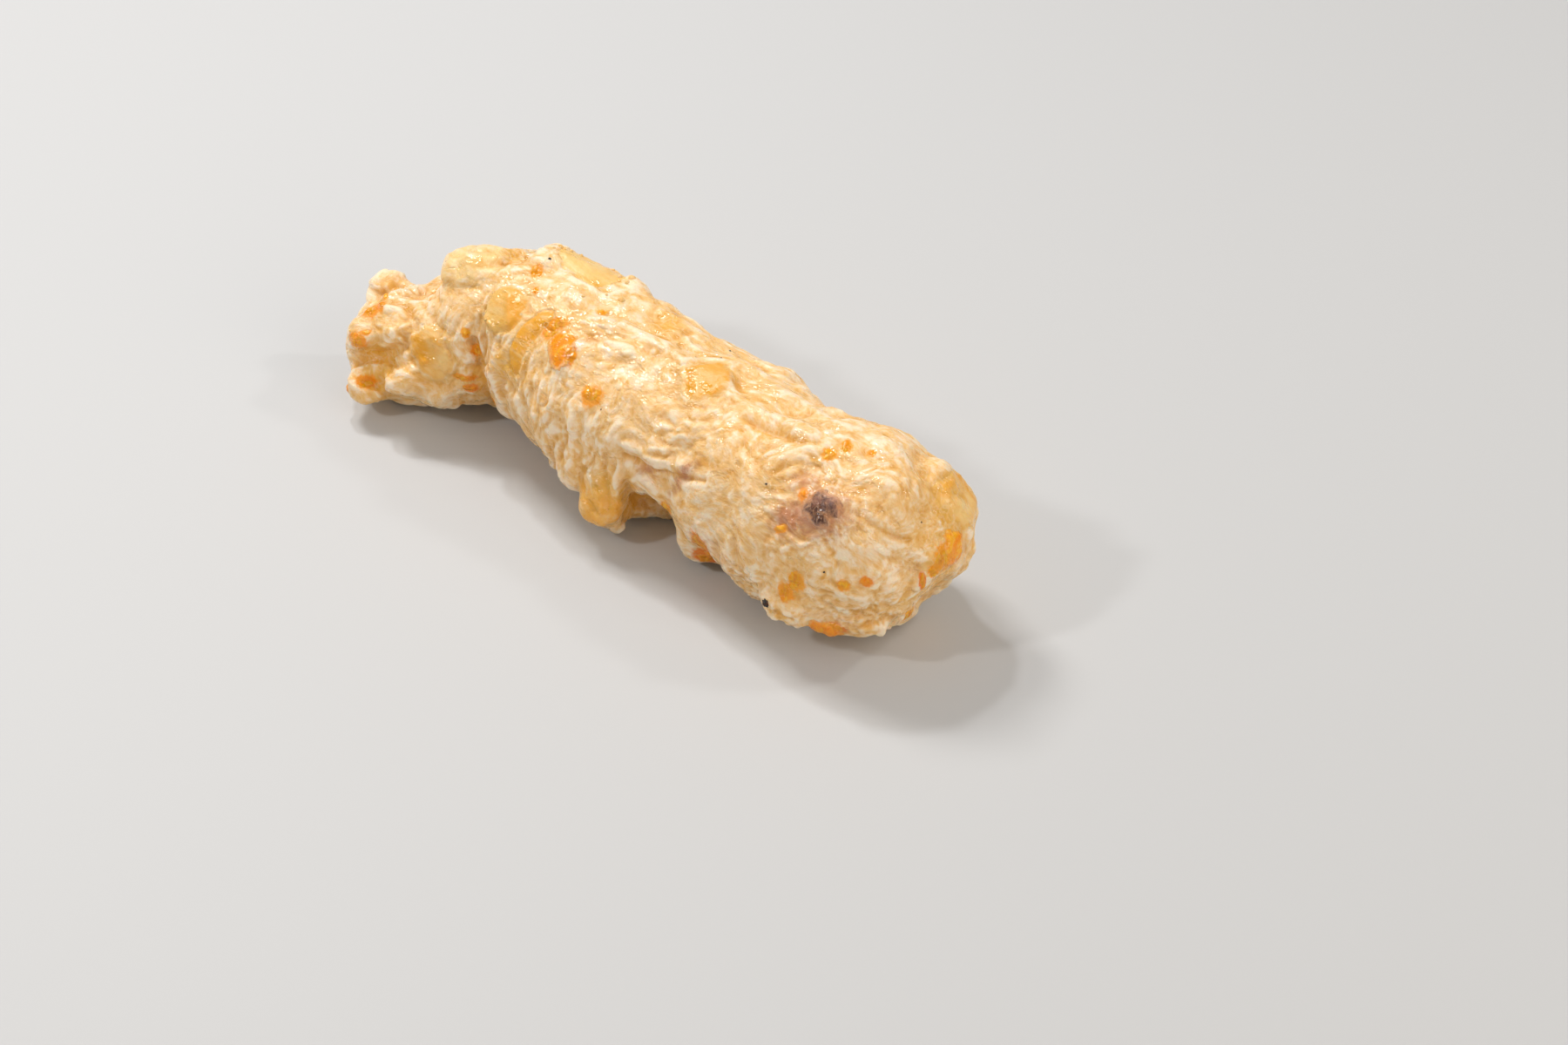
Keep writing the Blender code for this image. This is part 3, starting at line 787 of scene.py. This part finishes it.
paste = Recipe("fried_fish_paste")
body, fibres = paste_colours(paste)
pink_edge = paste.about(fibres, 0.5, 1.0, paste.stored("pink"))
body = paste.mix(paste.spread(pink_edge, 0.1, 0.95, 0.85), body, PINK_STAIN)
frayed = paste.grain(0.7, (1, 1, 1), 3.0)
carrot_edge = paste.about(frayed, 0.5, 0.8, paste.stored("carrot"))
carrot_colour = paste.mix(paste.stored("redness"), CARROT_YELLOW, CARROT_RED)
body = paste.mix(paste.spread(carrot_edge, 0.14, 0.50, 0.96), body, carrot_colour)
paste_gloss(paste, body, fibres)
skin_mesh.materials.append(paste.material)
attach(cake_skin, "root")
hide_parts("fish_cake")

# The pieces of onion: cut from a bulb's thick layers and cooked glassy, so they are amber and
# see-through, with the layer's fine ribs along them. Some lie bare between lips of the paste,
# and a thin film of it veils the others.
CAP_REACH = 0.9
CAP_DEPTH = 0.8
RIM_SUNK = 0.12
LEAST_ROOM = 0.02
BODY_COVER = 0.4
ONION_SUNK, ONION_PROUD = -0.12, 0.10
ONION_CLEAR = colour(0.93, 0.67, 0.29)
ONION_DEEP = colour(0.82, 0.37, 0.025)
ONION_RIB = colour(0.94, 0.74, 0.42)
# How thickly the film of paste veils each piece, how wide it lies on the rim, and how deep amber
# the piece is.
VEILS = {
    "onion_slab": (-0.1, 0.5, 0.0), "onion_chunk": (-0.4, 0.6, 0.35), "onion_strip": (-0.6, 0.4, 1.05),
    "onion_patch": (0.1, 1.2, 0.7), "onion_bulge": (0.58, 3.4, -0.5), "onion_wedge": (-0.15, 1.2, 0.35),
    "onion_end": (-0.15, 1.3, 0.2), "onion_loop": (0.3, 2.2, 0.5), "octopus_piece": (0.25, 2.6, 0.0),
    "carrot_block": (0.0, 0.5, 0.0), "carrot_end": (0.2, 0.9, 0.0), "carrot_low": (0.1, 0.8, 0.0),
}
# Deeper and clearer faces of the pieces, by pixels: half width, half height, and how much deeper.
FACES = {
    "chunk, right": (593, 358, 9, 22, 1.0),
    "chunk, left": (556, 350, 9, 16, -0.5),
    "strip, foot": (592, 425, 8, 10, 0.3),
    "wedge, left": (482, 405, 7, 14, 0.8),
    "wedge, right": (512, 412, 9, 18, -0.35),
    "end, core": (1083, 556, 13, 17, 0.6),
    "end, outer": (1108, 590, 16, 26, -0.25),
    "loop, side": (710, 580, 9, 14, 0.4),
}
# Amber lines along cut edges, and one painted as shade in the wedge's crease, by pixels: half their width
# and how much deeper.
CUT_EDGES_AND_CREASE_SHADE = {
    "slab's near edge": (((646, 305), (662, 314), (684, 327), (706, 338)), 0.35, 0.7),
    # The wedge's crease: deeper amber painted as the shade in the crease.
    "wedge's crease": (((476, 394), (482, 404), (487, 413)), 0.4, 0.6),
    "strip's inner line": (((618, 364), (603, 384), (592, 408), (596, 430)), 0.35, 0.5),
    "patch's left edge": (((792, 418), (791, 440), (796, 458)), 0.4, 0.4),
    "patch's foot": (((796, 458), (812, 466), (832, 460)), 0.5, 0.4),
    "end's edge": (((1092, 540), (1106, 552), (1115, 570), (1119, 592), (1114, 612)), 0.5, 0.7),
}

skin_tree = tree_of(relieved)
quads = np.empty(len(skin_mesh.polygons) * 4, np.int32)
skin_mesh.polygons.foreach_get("vertices", quads)
quads = quads.reshape(-1, 4)
face_depth = np.zeros(len(relieved))
for *place, deeper in FACES.values():
    face_depth += deeper * blot(*frame_at(*place))
for pixels, half_width, deeper in CUT_EDGES_AND_CREASE_SHADE.values():
    face_depth += deeper * line_on_skin(pixels, half_width)


def under_skin(at):
    """The skin's points that lie nearest to these."""
    return np.array([skin_tree.find(p)[1] for p in at])


def sheet_with_back(faces, top, bottom):
    """A closed thin piece: its top face, its back, and a wall round its edge."""
    count = len(top)
    runs = {(int(f[i]), int(f[(i + 1) % 4])) for f in faces for i in range(4)}
    wall = [(b, a, a + count, b + count) for a, b in sorted(runs) if (b, a) not in runs]
    backs = [tuple(int(v) + count for v in reversed(f)) for f in faces]
    return np.concatenate([top, bottom]), [tuple(int(v) for v in f) for f in faces] + backs + wall


def cap_on(node, name, proud, bumps):
    """A piece: its node's body, under a cap that lies level with the skin up to its rim."""
    far = rim_distance[node]
    faces = quads[(far < CAP_REACH)[quads].all(axis=1)]
    used = np.unique(faces)
    place_of = np.zeros(len(relieved), int)
    place_of[used] = np.arange(len(used))
    inside = 1 - smooth_step(-0.2, 0.6, far[used])
    offset = np.full(len(used), proud) if node in SUNK_IN else -RIM_SUNK + (proud + RIM_SUNK) * inside
    room_left = np.maximum(room - height, LEAST_ROOM)[used]
    offset = np.minimum(offset + bumps(relieved[used]) * inside, room_left)
    top = np.clip(relieved[used] + normals[used] * offset[:, None], box_low, box_high)
    cap, faces = sheet_with_back(place_of[faces], top, top - normals[used] * CAP_DEPTH)
    core = swollen_copy(node, node + " body", 0.0)
    body_points, _ = mesh_points(core.data)
    for k, p in enumerate(body_points):
        foot, normal, _, _ = fresh_skin.find_nearest(Vector(p) * MM)
        over = (Vector(p) - foot / MM).dot(normal) + BODY_COVER
        body_points[k] -= np.array(normal) * max(0.0, over)
    faces += [tuple(v + len(cap) for v in f.vertices) for f in core.data.polygons]
    bpy.data.objects.remove(core)
    piece = piece_from(name, np.concatenate([cap, body_points]), faces)
    piece.data.shade_smooth()
    origin = np.concatenate([used, used, under_skin(body_points)])
    veil, rim_film, depth = VEILS[node]
    for value_name, values in SKIN_VALUES.items():
        store(piece.data, value_name, values[origin])
    store(piece.data, "film", np.maximum(veil, smooth_step(-rim_film, 0.3, far[origin])))
    store(piece.data, "depth", depth + face_depth[origin])
    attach(piece, "root")
    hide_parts(node)
    return piece


onion = Recipe("cooked_onion")
body, fibres = paste_colours(onion)
ribs = onion.grain(1.2, (5, 1, 1), 2.0, 0.5, 0.3)
cloud = onion.grain(2.6, (1.4, 1, 1), 3.0, 0.5, 0.6)
depth = onion.about(cloud, 0.5, 1.2, onion.stored("depth"))
flesh = onion.mix(onion.spread(depth, -0.7, 1.0), ONION_CLEAR, ONION_DEEP)
flesh = onion.mix(onion.spread(ribs, 0.5, 0.75, 0.3), flesh, ONION_RIB)
film = onion.about(fibres, 0.5, 0.9, onion.stored("film"))
film = onion.about(onion.grain(1.8, (1, 1, 1), 3.0, 0.6, 0.5), 0.5, 1.0, film)
body = onion.mix(onion.spread(film, 0.15, 0.95), flesh, body)
paste_gloss(onion, body, onion.maths("MULTIPLY_ADD", ribs, 0.4, 0.3), dry=0.42, wetness=-0.04, glow=0.2)


def onion_bumps(at):
    return 0.10 * waves(at / 2.2) + 0.05 * waves(at / 0.9 + 5.0)


for node in [n for n in PIECE_NODES if n.startswith("onion_")]:
    proud = ONION_SUNK if node in SUNK_IN else ONION_PROUD
    onion_cut = cap_on(node, node + "_cut", proud, onion_bumps)
    onion_cut.data.materials.append(onion.material)

# The bits of carrot: coarsely chopped, cooked soft in the paste, wet and a strong orange. The
# three larger ones have solids of their own, and the grains lie in the skin, half under its film.
CARROT_FLESH = colour(0.94, 0.32, 0.003)
CARROT_CORE = colour(0.97, 0.44, 0.012)
CARROT_SHADE = colour(0.93, 0.27, 0.002)
CARROT_SUNK, CARROT_PROUD = 0.05, 0.12
GRAIN_PROUD, GRAIN_EDGE_SUNK, GRAIN_DEPTH = 0.13, 0.08, 0.45
GRAIN_RINGS, GRAIN_SIDES = 5, 20
# A stain of a smaller half size than this holds one bit of carrot, and a larger one three.
LONE_STAIN = 0.85
LONE_SCALE, SHARED_SCALE = 1.105, 0.806
SHARED_SHIFT, SHARING = 0.55, 3

carrot_flesh = Recipe("cooked_carrot")
body, fibres = paste_colours(carrot_flesh)
streaks = carrot_flesh.grain(1.0, (1, 2.0, 2.0), 3.0, 0.5, 0.4)
streaks = carrot_flesh.about(carrot_flesh.stored("redness"), 0.5, -0.18, streaks)
flesh = carrot_flesh.mix(carrot_flesh.spread(streaks, 0.30, 0.50), CARROT_SHADE, CARROT_FLESH)
flesh = carrot_flesh.mix(carrot_flesh.spread(streaks, 0.50, 0.66), flesh, CARROT_CORE)
body = carrot_flesh.mix(0.6, body, flesh)
film = carrot_flesh.about(fibres, 0.5, 1.2, carrot_flesh.stored("film"))
body = carrot_flesh.mix(carrot_flesh.spread(film, 0.35, 1.1), flesh, body)
paste_gloss(carrot_flesh, body, streaks, dry=0.34, wetness=0.02)


def carrot_bumps(at):
    return 0.16 * waves(at / 1.2) + 0.07 * waves(at / 0.6)


for node in [n for n in PIECE_NODES if n.startswith("carrot_")]:
    proud = CARROT_SUNK if node in SUNK_IN else CARROT_PROUD
    carrot_cut = cap_on(node, node + "_cut", proud, carrot_bumps)
    carrot_cut.data.materials.append(carrot_flesh.material)


def laid_in_skin(place, proud, seed, rings=GRAIN_RINGS, sides=GRAIN_SIDES, ragged=0.45, rugged=1.2):
    """A thin irregular bit in the skin at a place, and how near its edge each of its points is."""
    centre, side, up, _ = place
    top, under, reach = [], [], []
    for ring in range(rings + 1):
        share = ring / rings
        for k in range(sides):
            turn = math.tau * k / sides
            way = Vector((math.cos(turn), math.sin(turn), seed))
            out = share * (1 + ragged * noise.noise(way * 1.4) + 0.5 * ragged * noise.noise(way * 3.7))
            at = centre + side * (out * way.x) + up * (out * way.y)
            foot, normal, _, _ = fresh_skin.find_nearest(at * MM)
            rise = proud * (1 + rugged * noise.noise(at / 0.7)) * (1 - share**2)
            top.append(foot / MM + normal * (rise - GRAIN_EDGE_SUNK * share**4))
            under.append(foot / MM - normal * GRAIN_DEPTH)
            reach.append(share)
    faces = []
    for ring in range(rings):
        for k in range(sides):
            a, b = ring * sides + k, ring * sides + (k + 1) % sides
            faces.append((a, a + sides, b + sides, b))
    return sheet_with_back(faces, np.clip(top, box_low, box_high), np.array(under)), np.array(reach + reach)


def joined_bits(name, bits):
    """One object of many bits, each given as its points and faces."""
    points, faces, start = [], [], 0
    for at, own_faces in bits:
        points.append(at)
        faces += [tuple(v + start for v in f) for f in own_faces]
        start += len(at)
    piece = piece_from(name, np.concatenate(points), faces)
    piece.data.shade_smooth()
    return piece


bits, films, reds = [], [], []
grains = [(frame_at(*place), red) for *place, red in CARROTS.values()]
for k, (place, red) in enumerate(grains + hidden_bits):
    centre, side, up, normal = place
    lone = (side.length + up.length) / 2 < LONE_STAIN
    shift = 0.0 if lone else SHARED_SHIFT
    for part in range(1 if lone else SHARING):
        scale = (LONE_SCALE if lone else SHARED_SCALE) * rng.uniform(0.85, 1.15)
        moved = centre + side * rng.uniform(-shift, shift) + up * rng.uniform(-shift, shift)
        bit_place = (moved, side * scale, up * scale, normal)
        (at, faces), reach = laid_in_skin(bit_place, GRAIN_PROUD, k + 0.37 * part)
        bits.append((at, faces))
        films.append(0.2 * rng.random() + 0.7 * reach**2)
        reds.append(np.full(len(at), red))
carrot_grains = joined_bits("carrot_grains", bits)
origin = under_skin(mesh_points(carrot_grains.data)[0])
for value_name, values in SKIN_VALUES.items():
    if value_name != "redness":
        store(carrot_grains.data, value_name, values[origin])
store(carrot_grains.data, "redness", np.concatenate(reds))
store(carrot_grains.data, "film", np.concatenate(films))
carrot_grains.data.materials.append(carrot_flesh.material)
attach(carrot_grains, "root")

# The piece of octopus: a cut of arm with its purple skin on, cooked grey inside, its fibres
# showing through the film of paste over it.
OCTOPUS_GREY = colour(0.42, 0.23, 0.13)
OCTOPUS_DARK = colour(0.085, 0.035, 0.025)
OCTOPUS_RED = colour(0.30, 0.12, 0.075)
OCTOPUS_PROUD = 0.02

octopus = Recipe("cooked_octopus")
body, fibres = paste_colours(octopus)
strands = octopus.grain(0.8, (1, 1, 2.5), 5.0, 0.65, 1.0)
patches = octopus.grain(1.8, (1, 1, 1), 2.0, 0.5)
flesh = octopus.mix(octopus.spread(strands, 0.48, 0.66), OCTOPUS_DARK, OCTOPUS_GREY)
flesh = octopus.mix(octopus.spread(patches, 0.45, 0.65, 0.6), flesh, OCTOPUS_RED)
film = octopus.about(fibres, 0.5, 1.8, octopus.stored("film"))
body = octopus.mix(0.75, body, PINK_STAIN)
body = octopus.mix(octopus.spread(film, 0.1, 1.0), flesh, body)
paste_gloss(octopus, body, strands)


def octopus_bumps(at):
    return 0.22 * waves(at / (1.6, 1.6, 3.0)) + 0.12 * waves(at / 0.7)


octopus_cut = cap_on("octopus_piece", "octopus_cut", OCTOPUS_PROUD, octopus_bumps)
octopus_cut.data.materials.append(octopus.material)

# What the frying left on the skin: dry crumbs of paste along the edges, and rings where bubbles
# of oil burst. Each crumb is given by its pixel and half its width in pixels, and each ring by
# its pixel and its radius in millimetres.
CRUMBS = {
    "slab's end": ((717, 313, 4.6), (726, 319, 4.8), (712, 317, 3.0), (720, 324, 3.2), (711, 323, 2.4)),
    "slab's far edge": ((656, 288, 2.4), (668, 293, 2.2), (681, 299, 2.4), (693, 305, 2.2), (704, 310, 2.6)),
    "summit": ((643, 283, 4.4), (649, 286, 3.4), (636, 285, 2.6), (604, 290, 2.4)),
    "tail's notch": ((472, 323, 2.4), (478, 326, 2.0), (498, 352, 1.8)),
    "tail's end": ((399, 404, 2.4), (402, 380, 2.4)),
    "corner": ((868, 690, 3.0), (888, 704, 2.6)),
}
CRUMB_RISE = 0.10
CRUMB_VALUES = {
    "crease_amber_and_shade": -0.4, "amber_and_shade": 0.5, "wet": 0.4, "carrot": 0.0, "redness": 0.0, "pink": 0.0,
    "downward": 0.0,
}
RINGS = (((627, 373), 0.45), ((512, 375), 0.42), ((906, 640), 0.35))
RING_SIDES, RING_CORNERS, RING_WIDTH = 24, 6, 0.06


def round_place(pixel, half):
    """Where a round bit lies: not drawn out where the skin falls away from the eye."""
    centre, side, up, normal = frame_at(*pixel, 1, 1)
    return centre, side.normalized() * half * MM_PER_PIXEL, up.normalized() * half * MM_PER_PIXEL, normal


def ring_on_skin(pixel, radius):
    """A thin ring that lies on the skin round a pixel."""
    centre, side, up, _ = round_place(pixel, 1 / MM_PER_PIXEL)
    points, faces = [], []
    for k in range(RING_SIDES):
        turn = math.tau * k / RING_SIDES
        way = side * math.cos(turn) + up * math.sin(turn)
        foot, normal, _, _ = fresh_skin.find_nearest((centre + way * radius) * MM)
        for corner in range(RING_CORNERS):
            lean = math.tau * corner / RING_CORNERS
            out, rise = RING_WIDTH * math.cos(lean), RING_WIDTH * (0.5 + math.sin(lean))
            points.append(foot / MM + way * out + normal * rise)
    for k in range(RING_SIDES):
        first, after = k * RING_CORNERS, (k + 1) % RING_SIDES * RING_CORNERS
        for corner in range(RING_CORNERS):
            beside = (corner + 1) % RING_CORNERS
            faces.append((first + corner, after + corner, after + beside, first + beside))
    return np.clip(points, box_low, box_high), faces


bits = [ring_on_skin(pixel, radius) for pixel, radius in RINGS]
for k, (*pixel, half) in enumerate(crumb for group in CRUMBS.values() for crumb in group):
    place = round_place(pixel, half)
    bits.append(laid_in_skin(place, CRUMB_RISE * half, 30.3 + k, ragged=0.35, rugged=0.5)[0])
dry_crumbs = joined_bits("dry_crumbs", bits)
origin = under_skin(mesh_points(dry_crumbs.data)[0])
for value_name, value in CRUMB_VALUES.items():
    store(dry_crumbs.data, value_name, np.full(len(origin), value))
store(dry_crumbs.data, "stir", stir[origin])
dry_crumbs.data.materials.append(paste.material)
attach(dry_crumbs, "root")

# Burnt crumbs from the frying oil: one black flake on the head's lower corner, and dark specks
# that stuck to the skin. Each is given by its pixel and half its width in pixels.
FLAKE = ((880, 693), 5.5)
FLAKE_RISE, SPECK_RISE = 0.45, 0.14
SPECKS = {
    "by the octopus": (880, 556, 2.2),
    "over the hem": (946, 657, 1.6),
    "right of the patch": (838, 403, 1.8),
    "under the first": (828, 411, 1.4),
    "by the summit": (631, 297, 2.6),
    "head, right": (1058, 600, 1.2),
    "side": (690, 470, 1.3),
}
CHAR = colour(0.012, 0.010, 0.009)
CHAR_BROWN = colour(0.10, 0.035, 0.012)
CRUST_DEPTH = 0.15

char = Recipe("burnt_crumb")
flecks = char.grain(0.35, (1, 1, 1), 3.0, 0.6)
char_body = char.mix(char.spread(flecks, 0.45, 0.7), CHAR, CHAR_BROWN)
crust = char.node("Bump", {"Strength": 1.0, "Distance": CRUST_DEPTH * MM, "Height": flecks})
char.set(char.surface, {
    "Base Color": char_body,
    "Roughness": char.spread(flecks, 0.2, 0.9),
    "Normal": crust.outputs[0],
})
bits = [laid_in_skin(round_place(*FLAKE), FLAKE_RISE, 4.2, rings=6, sides=14, ragged=0.9)[0]]
for k, (*pixel, half) in enumerate(SPECKS.values()):
    place = round_place(pixel, half)
    bits.append(laid_in_skin(place, SPECK_RISE, 9.1 + k, rings=3, sides=8, ragged=0.8)[0])
burnt_crumbs = joined_bits("burnt_crumbs", bits)
burnt_crumbs.data.materials.append(char.material)
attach(burnt_crumbs, "root")

# The place it is shown in: a plain pale floor, a soft lamp behind it on the left, a wide one in
# front on the right, and three small ones that put glints on the oil.
FLOOR_HALF = 900
FLOOR_CORNERS = ((-1, -1, 0), (1, -1, 0), (1, 1, 0), (-1, 1, 0))
FLOOR_PALE = colour(0.56, 0.575, 0.60)
ROOM_LIGHT = colour(1.0, 0.94, 0.85)
ROOM_BRIGHTNESS = 0.36
# Each lamp's place across, away from the eye and up, its width, its power and its tint.
LAMPS = {
    "key": ((-330, 420, 620), 180, 3.1, (1.0, 0.96, 0.91)),
    "fill": ((480, -470, 420), 600, 2.2, (1.0, 0.91, 0.80)),
    "glint": ((-120, 330, 560), 50, 0.9, (1.0, 1.0, 1.0)),
    "sparkle": ((-420, -200, 420), 50, 0.8, (1.0, 0.98, 0.95)),
    "shine": ((430, 60, 430), 50, 0.45, (1.0, 0.96, 0.9)),
}

floor = piece_from("floor", np.array(FLOOR_CORNERS) * FLOOR_HALF, [(0, 1, 2, 3)])
ground = Recipe("pale_floor")
ground.set(ground.surface, {"Base Color": FLOOR_PALE, "Roughness": 0.6})
floor.data.materials.append(ground.material)

for name, ((aside, away, above), width, power, tint) in LAMPS.items():
    light = bpy.data.lights.new(name, "AREA")
    light.shape = "SQUARE"
    light.size = width * MM
    light.energy = power
    light.color = tint
    lamp = bpy.data.objects.new(name, light)
    bpy.context.scene.collection.objects.link(lamp)
    place = across * aside + level * away + Vector((0, 0, above))
    lamp.location = place * MM
    lamp.rotation_euler = (CAKE_MIDDLE - place).to_track_quat("-Z", "Y").to_euler()
world = bpy.data.worlds.new("studio")
world.use_nodes = True
room_light = world.node_tree.nodes["Background"]
room_light.inputs["Color"].default_value = ROOM_LIGHT
room_light.inputs["Strength"].default_value = ROOM_BRIGHTNESS
bpy.context.scene.world = world
bpy.context.scene.view_settings.view_transform = "Standard"
